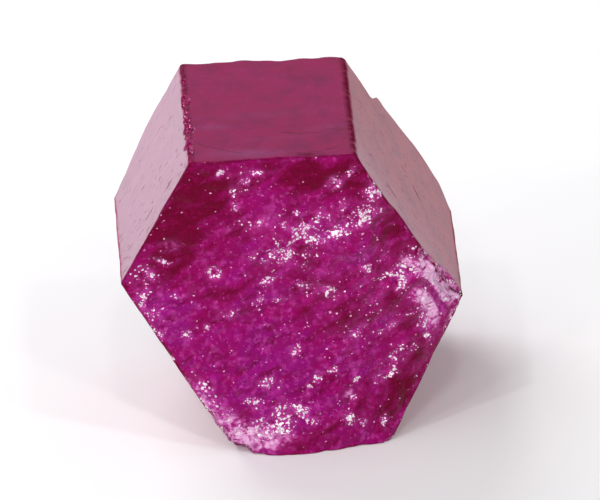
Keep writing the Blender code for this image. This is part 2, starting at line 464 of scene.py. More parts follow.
    def rag(self, at: Numbers, seed: int) -> Numbers:
        """Shift of the ledges' lines: raggedness * (slow ripple + 0.4 * fast ripple).

        Args:
            at: places on the end, as rows of x and z.
            seed: seed of the ripples.

        Returns:
            Millimetres of shift for each place.
        """
        slow, fast = self.rag_paces
        return self.raggedness * (ripple(at, slow, seed) + 0.4 * ripple(at, fast, seed + 2))

    def coarse(self, x: Numbers, z: Numbers) -> Numbers:
        """The end's place along Y without its fine grain.

        The place is the sum of the general place, the two drops of the shoulder along
        x - slant * z, every ledge and every round pit, less the cobbles. The ledges'
        lines are made ragged by shifting where they are read.

        Args:
            x: places across the end.
            z: places up the end, from the axis.

        Returns:
            Y in millimetres for each place.
        """
        y = np.full_like(x, self.place)
        for start, end, drop in self.shoulder:
            y += drop * ease(x - self.slant * z, start, end)
        at = np.column_stack((x, z))
        rag_x, rag_z = x + self.rag(at, 51), z + self.rag(at, 52)
        for ledge in self.ledges:
            y += ledge.depth(rag_x, rag_z, self.ledge_width)
        for pit_x, pit_z, radius, depth in self.pits:
            away = np.hypot(x - pit_x, z - pit_z)
            y += depth * (1.0 - ease(away, 0.35 * radius, radius))
        return y - self.cobbles.proud(x, z)

    def surface(self, x: Numbers, z: Numbers) -> Numbers:
        """The coarse place less the fine grain and, in the glitter, the crystallites."""
        fine = self.grain.proud(x, z) + self.glint(x, z) * self.crystallites.proud(x, z)
        return self.coarse(x, z) - fine


@dataclass(frozen=True)
class RimChip:
    """A shell-shaped chip on the rough end's rim, given by where it sits on one edge.

    The bite's middle stands out from the long face and ahead of the end, so that its
    radius less the distance to the rim is the depth of the chip.
    """

    edge: int
    share: float
    out: float
    ahead: float
    radius: float
    seed: int
    stretch: float = 1.0

    def bite(self, prism: Prism, end: RoughEnd) -> Bite:
        """The uneven ball for this chip: rim point + out * face normal - ahead * Y.

        Args:
            prism: the long faces.
            end: the rough end.

        Returns:
            The bite, placed from the resting face.
        """
        corners = prism.corners()
        start, stop = corners[self.edge], corners[(self.edge + 1) % SIDES]
        x, z = start + self.share * (stop - start)
        normal = prism.normals()[(self.edge + 1) % SIDES]
        y = end.coarse(np.array([x]), np.array([z]))[0] - self.ahead
        x, z = x + self.out * normal[0], z + self.out * normal[1] + prism.axis_height
        along = math.degrees(math.atan2(stop[1] - start[1], stop[0] - start[0]))
        half = (self.radius * self.stretch, self.radius, self.radius)
        return Bite((x, y, z), half, (0.0, -along, 0.0), self.seed, 0.012, 0.05)


@dataclass(frozen=True)
class Wear:
    """The width of a worn edge, from low to high where seeded unevenness rises."""

    low: float
    high: float
    pace: float
    seed: int
    start: float
    end: float

    def width(self, points: Numbers) -> Numbers:
        """Width at each point: low + (high - low) * ease(ripple)."""
        share = ease(ripple(points, self.pace, self.seed), self.start, self.end)
        return self.low + (self.high - self.low) * share


@dataclass(frozen=True)
class BrokenEnd:
    """The broken end: a terrace, a slope, a worn corner, cobbles and a fine grain.

    The terrace's rise and the left slope each have a start, an end and a height.
    """

    place: float = 2.04
    terrace: Ledge = Ledge(1.84, 1.88, 58.0, 0.68, 0.10, 9.0)
    terrace_width: float = 0.36
    terrace_rise: Triple = (0.2, 1.6, 0.30)
    left_slope: Triple = (2.2, 4.0, 1.30)
    rim_swell: Patch = Patch(2.68, 0.42, 0.85, 0.35, -60.0, 0.13)
    corner: tuple[float, float] = (3.19, -0.44)
    corner_reach: float = 0.5
    corner_drop: float = 0.70
    cobbles: Plates = Plates(1.05, 0.09, 0.24, 23)
    grain: Plates = Plates(0.24, 0.020, 0.20, 29)

    def surface(self, x: Numbers, z: Numbers) -> Numbers:
        """Sum of the place, terrace, slope, swell, worn corner and plates along Y.

        Args:
            x: places across the end.
            z: places up the end, from the axis.

        Returns:
            Y in millimetres for each place.
        """
        y = np.full_like(x, self.place)
        y += self.terrace.depth(x, z, self.terrace_width)
        spot = (self.terrace.x, self.terrace.z)
        _, past = along_and_across(x, z, spot, self.terrace.turn)
        start, end, rise = self.terrace_rise
        y += rise * ease(past, start, end)
        start, end, drop = self.left_slope
        y -= drop * ease(-x, start, end)
        y += self.rim_swell.share(x, z)
        away = np.hypot(x - self.corner[0], z - self.corner[1])
        y -= self.corner_drop * (1.0 - ease(away, 0.0, self.corner_reach))
        return y + self.cobbles.proud(x, z) + self.grain.proud(x, z)


class Part(Enum):
    """The stretches of the skin that a vertex can belong to."""

    ROUGH_END = 0
    LONG_FACE = 1
    BROKEN_END = 2


@dataclass
class Skin:
    """Loose patches of the crystal's skin, gathered before they are joined."""

    points: list[Numbers] = field(default_factory=list)
    parts: list[Numbers] = field(default_factory=list)
    quads: list[Numbers] = field(default_factory=list)
    triangles: list[Numbers] = field(default_factory=list)
    count: int = 0

    def add_points(self, points: Numbers, part: Part) -> Numbers:
        """Store a grid of points.

        Args:
            points: an array whose last axis is x, y and z.
            part: the stretch of skin that they belong to.

        Returns:
            The points' numbers, in the grid's own shape.
        """
        flat = points.reshape(-1, 3)
        numbers = np.arange(self.count, self.count + len(flat))
        self.points.append(flat)
        self.parts.append(np.full(len(flat), part.value))
        self.count += len(flat)
        return numbers.reshape(points.shape[:-1])

    def add_grid(self, numbers: Numbers) -> None:
        """Fill a grid of point numbers with quads."""
        corners = (numbers[:-1, :-1], numbers[1:, :-1], numbers[1:, 1:], numbers[:-1, 1:])
        self.quads.append(np.stack(corners, axis=-1).reshape(-1, 4))

    def add_transition(self, fine: Numbers, coarse: Numbers) -> None:
        """Join a row of points to one with half as many steps, three triangles a step.

        Args:
            fine: point numbers of the row with more steps.
            coarse: point numbers of the row with half as many.
        """
        first, middle, last = fine[0:-2:2], fine[1:-1:2], fine[2::2]
        left, right = coarse[:-1], coarse[1:]
        for triple in ((first, middle, left), (middle, right, left), (middle, last, right)):
            self.triangles.append(np.stack(triple, axis=-1))

    def joined(self) -> tuple[Numbers, Numbers, list[Numbers]]:
        """Merge the points that lie in one place, to a hundred-thousandth of a mm.

        Returns:
            The points, their part numbers, and the arrays of faces.
        """
        points = np.concatenate(self.points)
        parts = np.concatenate(self.parts)
        keys = np.rint(points * 1e5).astype(np.int64)
        _, first, number = np.unique(keys, axis=0, return_index=True, return_inverse=True)
        number = number.ravel()
        faces = [number[np.concatenate(self.quads)], number[np.concatenate(self.triangles)]]
        return points[first], parts[first], faces


@dataclass(frozen=True)
class FaceLine:
    """A fine line on a long face, where a ball about the middle cuts the face.

    It is strongest near one place and fades out over its reach from there. Places are
    in millimetres, with Z from the face that the crystal lies on.
    """

    middle: Triple
    radius: float
    near: Triple
    reach: float
    strength: float = 1.0
    sharpness: float = 26.0
    fade: float = 1.5


@dataclass(frozen=True)
class Pattern:
    """Cloudy noise in turns to a millimetre, graded: noise * gain + shift."""

    scale: float
    detail: float
    gain: float = 1.0
    shift: float = 0.0
    distortion: float = 0.0
    stretch: Triple | None = None
    clamp: bool = True


@dataclass(frozen=True)
class Cells:
    """A layer of tiny crystals: cells to a millimetre, and the steepest lean of one.

    The bright spots are painted glints, painted highlights in the colour. The share of
    cells that are bright, and the radius of a bright spot in cells, are each a gain on
    the thickness of the glitter and a shift. So is a spot's light on a power of its
    cell's chance, and its size on another. Cells are flatter than wide by flatness, level
    is the lean that stands for none, and crispness sharpens a spot.
    """

    scale: float
    lean: float
    share: tuple[float, float]
    radius: tuple[float, float]
    light: tuple[float, float] = (1.2, 0.18)
    light_power: float = 1.3
    size: tuple[float, float] = (0.8, 0.4)
    flatness: float = 1.15
    level: Triple = (0.5, 0.5, 0.58)
    crispness: float = 5.0


@dataclass
class Web:
    """Short ways to add and join shader nodes in one material's tree."""

    tree: bpy.types.NodeTree

    def feed(self, node: bpy.types.Node, slot: int | str, value: object) -> None:
        """Set an input to a plain value, or join it to an output.

        Args:
            node: the node to feed.
            slot: the input's name or place in the row.
            value: an output, a number, or a colour or vector of three.
        """
        target = node.inputs[slot]
        if isinstance(value, Socket):
            self.tree.links.new(value, target)
        else:
            target.default_value = (*value, 1.0) if target.type == "RGBA" else value

    def add(self, kind: str, inputs: dict[int | str, object], **settings: object) -> bpy.types.Node:
        """Add a node, choose its settings and feed its inputs.

        Args:
            kind: the node's type, without the words that all of them start with.
            inputs: what goes into each input.
            settings: the node's own options.

        Returns:
            The new node.
        """
        node = self.tree.nodes.new(f"ShaderNode{kind}")
        for name, value in settings.items():
            setattr(node, name, value)
        for slot, value in inputs.items():
            self.feed(node, slot, value)
        return node

    def place_in_mm(self) -> Socket:
        """The object coordinates in millimetres."""
        inputs = {0: self.add("TexCoord", {}).outputs["Object"], "Scale": 1.0 / MM}
        return self.add("VectorMath", inputs, operation="SCALE").outputs["Vector"]

    def attribute(self, name: str) -> Socket:
        """One of the mesh's own numbers."""
        return self.add("Attribute", {}, attribute_name=name).outputs["Fac"]

    def noise(self, place: Socket, pattern: Pattern) -> Socket:
        """A pattern of cloudy noise, graded by its gain and shift.

        Args:
            place: object coordinates in millimetres.
            pattern: the noise and its grading.

        Returns:
            The graded noise at each place.
        """
        if pattern.stretch:
            place = self.vector_math("MULTIPLY", place, pattern.stretch)
        inputs = {"Vector": place, "Scale": pattern.scale, "Detail": pattern.detail}
        node = self.add("TexNoise", {**inputs, "Distortion": pattern.distortion})
        return self.scaled(node.outputs["Fac"], pattern.gain, pattern.shift, pattern.clamp)

    def turned(self, place: Socket, degrees: float) -> Socket:
        """The place turned about Y, so that X runs along a line that climbs by the angle."""
        inputs = {"Vector": place, "Rotation": (0.0, math.radians(degrees), 0.0)}
        return self.add("Mapping", inputs).outputs["Vector"]

    def shaken(self, place: Socket, scale: float, by: float) -> Socket:
        """Move each place about by noise, so that what is drawn there wavers.

        Args:
            place: object coordinates in millimetres.
            scale: the noise's turns to a millimetre.
            by: the farthest move is half of this, both ways.

        Returns:
            The moved places.
        """
        node = self.add("TexNoise", {"Vector": place, "Scale": scale, "Detail": 1.0})
        moved = self.vector_math("MULTIPLY", node.outputs["Color"], (by, by, by))
        return self.vector_math("ADD", place, moved)

    def crystals(self, place: Socket, thick: Socket, cells: Cells) -> tuple[Socket, Socket]:
        """Tiny crystals: flat cells that lean at random, some of them bright with painted glints.

        The height in a cell is the dot of its random lean and the offset from its
        middle. A cell is bright where its first random number is under the share, within
        the radius times its size by the second, and more or less bright by the third.

        Args:
            place: object coordinates in millimetres.
            thick: the thickness of the glitter.
            cells: the layer's sizes.

        Returns:
            The height in millimetres, and how bright the painted glint is at each place, from 0 to
            1.
        """
        scale = cells.scale
        spread = self.vector_math("MULTIPLY", place, (scale, scale, scale * cells.flatness))
        cell = self.add("TexVoronoi", {"Vector": spread, "Scale": 1.0}).outputs
        chance = self.add("SeparateColor", {"Color": cell["Color"]}).outputs
        offset = self.vector_math("SUBTRACT", spread, cell["Position"])
        leans = self.vector_math("SUBTRACT", cell["Color"], cells.level)
        height = self.vector_math("DOT_PRODUCT", offset, leans)
        bright = self.math("LESS_THAN", chance["Red"], self.scaled(thick, *cells.share))
        power = self.math("POWER", chance["Blue"], cells.light_power)
        bright = self.product(bright, self.scaled(power, *cells.light))
        size = self.scaled(chance["Green"], *cells.size)
        reach = self.product(self.scaled(thick, *cells.radius), size)
        dot = self.math("SUBTRACT", reach, cell["Distance"])
        dot = self.math("MULTIPLY", dot, cells.crispness, clamp=True)
        return self.product(height, 2.0 * cells.lean / scale), self.product(bright, dot)

    def arc(self, place: Socket, line: FaceLine) -> Socket:
        """A fine line: 1 - sharpness * (distance from its arc), fading out along it.

        Args:
            place: object coordinates in millimetres.
            line: the line's arc and where it is strongest.

        Returns:
            The line's strength where it is strongest, 0 away from it.
        """
        away = self.vector_math("DISTANCE", place, line.middle)
        off = self.math("ABSOLUTE", self.math("SUBTRACT", away, line.radius))
        near = self.vector_math("DISTANCE", place, line.near)
        fade = self.scaled(near, -line.fade / line.reach, line.fade, clamp=True)
        share = self.scaled(off, -line.sharpness, 1.0, clamp=True)
        return self.product(self.product(share, fade), line.strength)

    def vector_math(self, operation: str, first: object, second: object) -> Socket:
        """One Vector Math node of two inputs."""
        node = self.add("VectorMath", {0: first, 1: second}, operation=operation)
        return node.outputs["Value" if operation in ("DOT_PRODUCT", "DISTANCE") else "Vector"]

    def math(self, operation: str, *values: object, clamp: bool = False) -> Socket:
        """One Math node."""
        inputs = dict(enumerate(values))
        return self.add("Math", inputs, operation=operation, use_clamp=clamp).outputs["Value"]

    def scaled(
        self, value: Socket, gain: float, shift: float = 0.0, clamp: bool = False
    ) -> Socket:
        """value * gain + shift, held between 0 and 1 if clamped."""
        return self.math("MULTIPLY_ADD", value, gain, shift, clamp=clamp)

    def product(self, first: object, second: object) -> Socket:
        """first * second."""
        return self.math("MULTIPLY", first, second)

    def ramp(self, value: Socket, *stops: tuple[float, Triple]) -> Socket:
        """Colours spread over a range of the value.

        Args:
            value: the number that picks the colour.
            stops: where on the range each colour stands.

        Returns:
            The colour at each place.
        """
        node = self.add("ValToRGB", {"Fac": value})
        marks = node.color_ramp.elements
        while len(marks) < len(stops):
            marks.new(0.5)
        for mark, (position, colour) in zip(marks, stops):
            mark.position = position
            mark.color = (*colour, 1.0)
        return node.outputs["Color"]

    def blend(self, first: object, second: object, share: object) -> Socket:
        """Mix two colours by a share that is held between 0 and 1."""
        inputs = {0: share, 6: first, 7: second}
        return self.add("Mix", inputs, data_type="RGBA", clamp_factor=True).outputs[2]

    def bump(self, height: Socket, distance: float) -> Socket:
        """A normal bent by a height, at a true distance in metres."""
        return self.add("Bump", {"Height": height, "Distance": distance}).outputs["Normal"]

    def absorb(self, colour: Triple, density: float) -> None:
        """Fill the inside with plain absorption."""
        node = self.add("VolumeAbsorption", {"Color": colour, "Density": density})
        self.feed(self.tree.nodes["Material Output"], "Volume", node.outputs["Volume"])


@dataclass(frozen=True)
class BerylFinish:
    """Clear to cloudy raspberry red beryl, glassy on its faces and frosted on its ends."""

    name: str = "red_beryl"
    crimson: Triple = (0.118, 0.0002, 0.006)
    magenta: Triple = (0.268, 0.0018, 0.098)
    violet: Triple = (0.268, 0.0050, 0.168)
    pale: Triple = (0.96, 0.58, 0.87)
    # light: a pale pink for flecks and clouds, and also the painted glow round the painted glints.
    light: Triple = (0.65, 0.085, 0.45)
    stain: Triple = (0.20, 0.010, 0.080)
    mark: Triple = (0.34, 0.004, 0.140)
    rim_red: Triple = (0.18, 0.0015, 0.042)
    # Long faces: face_rose is their own colour; face_brown paints shade on the right face, and
    # face_lilac paints the bright floor's reflection on the left face.
    face_rose: Triple = (0.40, 0.006, 0.105)
    face_brown: Triple = (0.53, 0.042, 0.080)
    face_lilac: Triple = (0.38, 0.065, 0.220)
    # Painted glints: a pink fringe and a white core of painted highlight.
    painted_glint_fringe: Triple = (0.80, 0.22, 0.62)
    sparkle: Triple = (0.98, 0.93, 0.96)
    face_lines: tuple[FaceLine, ...] = (
        FaceLine((0.33, -1.62, 5.84), 1.05, (0.65, -2.60, 5.84), 0.65),
        FaceLine((0.00, -0.62, 5.84), 2.07, (-1.30, -2.25, 5.84), 0.80),
        FaceLine((1.10, -1.10, 5.84), 0.50, (0.98, -1.58, 5.84), 0.28),
        FaceLine((0.60, 0.60, 5.84), 2.30, (0.30, -1.68, 5.84), 0.60),
        FaceLine((1.91, -0.30, 4.70), 1.50, (1.91, -1.80, 4.70), 0.24, 2.6),
        FaceLine((2.86, 1.16, 3.03), 1.20, (2.45, 0.30, 3.75), 0.24, 2.2),
        FaceLine((2.69, -0.89, 3.34), 1.30, (2.69, -2.19, 3.34), 0.34, 1.6),
        FaceLine((-2.14, -1.18, 5.25), 1.10, (-2.14, -2.28, 5.25), 0.18, 2.0),
        FaceLine((-2.53, -0.96, 4.58), 1.10, (-2.53, -2.06, 4.58), 0.24, 1.6),
    )
    silk_turn: float = 28.0
    silk_stretch: Triple = (0.45, 1.0, 1.25)
    zones: Pattern = Pattern(0.8, 3.0, 1.7, -0.85, 0.6, clamp=False)
    mottle: Pattern = Pattern(3.4, 5.0, 1.8, -0.9, 0.3, clamp=False)
    spots: Pattern = Pattern(7.0, 4.0, 5.0, -2.6)
    shade: Pattern = Pattern(5.0, 5.0, 6.0, -3.1)
    dust: Pattern = Pattern(12.0, 3.0, 8.0, -4.6)
    haze: Pattern = Pattern(1.6, 4.0, 1.2, 0.4, clamp=False)
    stains: Pattern = Pattern(2.4, 6.0, 3.4, -1.5, 0.4, (1.0, 0.6, 1.0))
    scratches: Pattern = Pattern(2.8, 5.0, 18.0, -11.9, stretch=(1.0, 3.0, 1.0))
    dots: Pattern = Pattern(9.0, 2.0, 20.0, -13.2)
    fractures: Pattern = Pattern(5.0, 6.0, 3.8, -1.3, 1.0, (1.0, 1.0, 1.6))
    grit: Pattern = Pattern(15.0, 2.0, 6.0, -2.3)
    breaks: Pattern = Pattern(5.0, 4.0)
    grain: Pattern = Pattern(16.0, 3.0)
    waves: Pattern = Pattern(0.6, 1.0, stretch=(1.0, 1.8, 1.0))
    cells: tuple[Cells, ...] = (
        Cells(9.5, 0.16, (0.17, -0.08), (0.04, 0.35)),
        Cells(14.0, 0.24, (0.34, -0.04), (0.08, 0.42)),
        Cells(24.0, 0.24, (0.34, 0.05), (0.08, 0.44)),
    )
    cell_shake: tuple[float, float] = (18.0, 0.06)
    line_shake: tuple[float, float] = (5.0, 0.10)
    ior: float = 1.577
    reflection_tint: Triple = (1.0, 0.04, 0.45)
    transmission: float = 0.30
    depth_colour: Triple = (0.92, 0.12, 0.70)
    depth_density: float = 800.0

    def material(self) -> bpy.types.Material:
        """Build the finish as shader nodes on object coordinates and attributes.

        Returns:
            The material.
        """
        material = bpy.data.materials.new(self.name)
        material.use_nodes = True
        web = Web(material.node_tree)
        place = web.place_in_mm()
        etched, glint, dull_and_painted_shade = (web.attribute(name) for name in ("etched", "glint", "dull_and_painted_shade"))
        faces = web.math("SUBTRACT", 1.0, etched)
        broken = web.noise(place, self.breaks)
        speck = self.specks(web, place, faces)
        lines = self.lines(web, place, web.product(web.scaled(broken, 3.0, -0.7), faces))
        ragged = web.scaled(broken, 4.0, -1.0)
        edge = web.math("MULTIPLY", web.attribute("edge"), ragged, clamp=True)
        thick = web.product(glint, web.math("MAXIMUM", web.scaled(broken, 8.0, -3.0), 0.0))
        thick = web.math("ADD", thick, web.math("MAXIMUM", web.scaled(glint, 0.9, -1.1), 0.0))
        thick = web.math("MINIMUM", thick, 2.0)
        # bright: where the finish paints glints, kept to the etched places.
        facets, bright = self.sparkles(web, place, thick)
        bright = web.product(bright, etched)

        grit = web.scaled(web.noise(place, self.grit), 0.7, 0.45)
        cloud = web.product(web.noise(place, self.fractures), grit)
        cloud = web.product(web.attribute("cloudy"), cloud)
        end, face = self.end_colour(web, place), self.face_colour(web, place, dull_and_painted_shade)
        colour = web.blend(end, face, web.scaled(faces, 0.85))
        for tint, share in (
            # Painted glow: a pale pink halo round the painted glints.
            (self.light, web.math("MINIMUM", web.scaled(thick, 0.34), 0.65)),
            (self.light, web.scaled(cloud, 1.7)),
            (self.pale, web.math("MINIMUM", web.scaled(cloud, 1.4, -0.22), 0.9)),
            (self.rim_red, edge),
            (self.mark, web.scaled(speck, 0.85)),
            (self.crimson, web.scaled(lines, 0.9)),
            # Painted glints: the pink fringe and the white core of painted highlights.
            (self.painted_glint_fringe, web.scaled(bright, 2.4)),
            (self.sparkle, web.scaled(bright, 2.2, -0.45)),
        ):
            colour = web.blend(colour, tint, share)

        grain = web.noise(place, self.grain)
        marks = web.math("MAXIMUM", speck, lines)
        rough = web.scaled(etched, 0.24, 0.09)
        parts = ((glint, -0.08), (dull_and_painted_shade, 0.27), (marks, 0.30), (edge, 0.25), (grain, 0.08))
        for value, gain in parts:
            rough = web.math("MULTIPLY_ADD", value, gain, rough)

        facets = web.product(facets, web.math("MINIMUM", web.scaled(thick, 0.4, 0.3), 0.6))
        relief = web.product(web.math("ADD", facets, web.scaled(grain, 0.005)), etched)
        waves = web.product(web.noise(place, self.waves), faces)
        for value, height in ((waves, 0.008), (speck, -0.005), (lines, -0.002)):
            relief = web.math("MULTIPLY_ADD", value, height, relief)

        shader = web.tree.nodes["Principled BSDF"]
        for slot, value in {
            "Base Color": colour,
            "Metallic": web.math("MAXIMUM", web.scaled(bright, 0.15), web.scaled(edge, 0.7)),
            "Roughness": web.math("MAXIMUM", web.scaled(rough, 1.0, -0.04), 0.09),
            "Normal": web.bump(relief, MM),
            "IOR": self.ior,
            "Specular Tint": self.reflection_tint,
            "Transmission Weight": self.transmission,
        }.items():
            web.feed(shader, slot, value)
        web.absorb(self.depth_colour, self.depth_density)
        return material

    def end_colour(self, web: Web, place: Socket) -> Socket:
        """Violet, magenta and crimson zones, with a fine mottle over them.

        Args:
            web: the material's nodes.
            place: object coordinates in millimetres.

        Returns:
            The colour before clouds, edges and specks.
        """
        tint = web.math("ADD", web.attribute("crimson"), web.noise(place, self.zones))
        silk = web.vector_math("MULTIPLY", web.turned(place, self.silk_turn), self.silk_stretch)
        tint = web.math("ADD", web.math("ADD", tint, 0.45), web.noise(silk, self.mottle))
        colour = web.ramp(tint, (0.0, self.violet), (0.5, self.magenta), (1.0, self.crimson))
        clear = web.math("MULTIPLY_ADD", tint, -1.3, 1.25, clamp=True)
        spots = web.product(web.noise(place, self.spots), clear)
        dust = web.product(web.noise(place, self.dust), clear)
        colour = web.blend(colour, self.light, web.scaled(spots, 0.50))
        colour = web.blend(colour, self.crimson, web.scaled(web.noise(silk, self.shade), 0.70))
        return web.blend(colour, self.light, web.scaled(dust, 0.60))

    def face_colour(self, web: Web, place: Socket, dull_and_painted_shade: Socket) -> Socket:
        """The long faces' rose with painted shade and reflection, lilac haze and dark stains.

        Painted shade browns the right face; painted reflection turns the left face lilac.

        Args:
            web: the material's nodes.
            place: object coordinates in millimetres.
            dull_and_painted_shade: how matte each place is, and how far painted shade browns it.

        Returns:
            The faces' colour.
        """
        # Painted shade: the right face turns brown and, with its roughness, darker.
        colour = web.blend(self.face_rose, self.face_brown, dull_and_painted_shade)
        # Painted reflection: the left face pales to lilac. Paler bands near the right face's rim
        # and haze on the top use the same lilac.
        painted_reflection_and_haze = web.product(web.attribute("painted_reflection_and_haze"), web.noise(place, self.haze))
        colour = web.blend(colour, self.face_lilac, painted_reflection_and_haze)
        return web.blend(colour, self.stain, web.scaled(web.noise(place, self.stains), 0.60))

    def specks(self, web: Web, place: Socket, faces: Socket) -> Socket:
        """Short scratches and dots on the long faces, where they are scarred."""
        speck = web.math("MAXIMUM", web.noise(place, self.scratches), web.noise(place, self.dots))
        return web.product(web.product(speck, faces), web.attribute("scarred"))

    def lines(self, web: Web, place: Socket, share: Socket) -> Socket:
        """Draw the fine lines on the long faces, the strongest one winning.

        Args:
            web: the material's nodes.
            place: object coordinates in millimetres.
            share: how much of a line is left at each place.

        Returns:
            The lines' strength.
        """
        swaying = web.shaken(place, *self.line_shake)
        lines = web.arc(swaying, self.face_lines[0])
        for line in self.face_lines[1:]:
            lines = web.math("MAXIMUM", lines, web.arc(swaying, line))
        return web.product(lines, share)

    def sparkles(self, web: Web, place: Socket, thick: Socket) -> tuple[Socket, Socket]:
        """The layers of tiny crystals: heights are summed, and the brightest painted glint wins.

        Args:
            web: the material's nodes.
            place: object coordinates in millimetres.
            thick: the thickness of the glitter.

        Returns:
            The height in millimetres, and how bright the painted glints are at each place.
        """
        shaken = web.shaken(place, *self.cell_shake)
        facets, bright = web.crystals(shaken, thick, self.cells[0])
        for cells in self.cells[1:]:
            layer, more = web.crystals(shaken, thick, cells)
            facets = web.math("ADD", facets, layer)
            bright = web.math("MAXIMUM", bright, more)
        return facets, web.product(bright, web.scaled(thick, 0.9, 0.55))


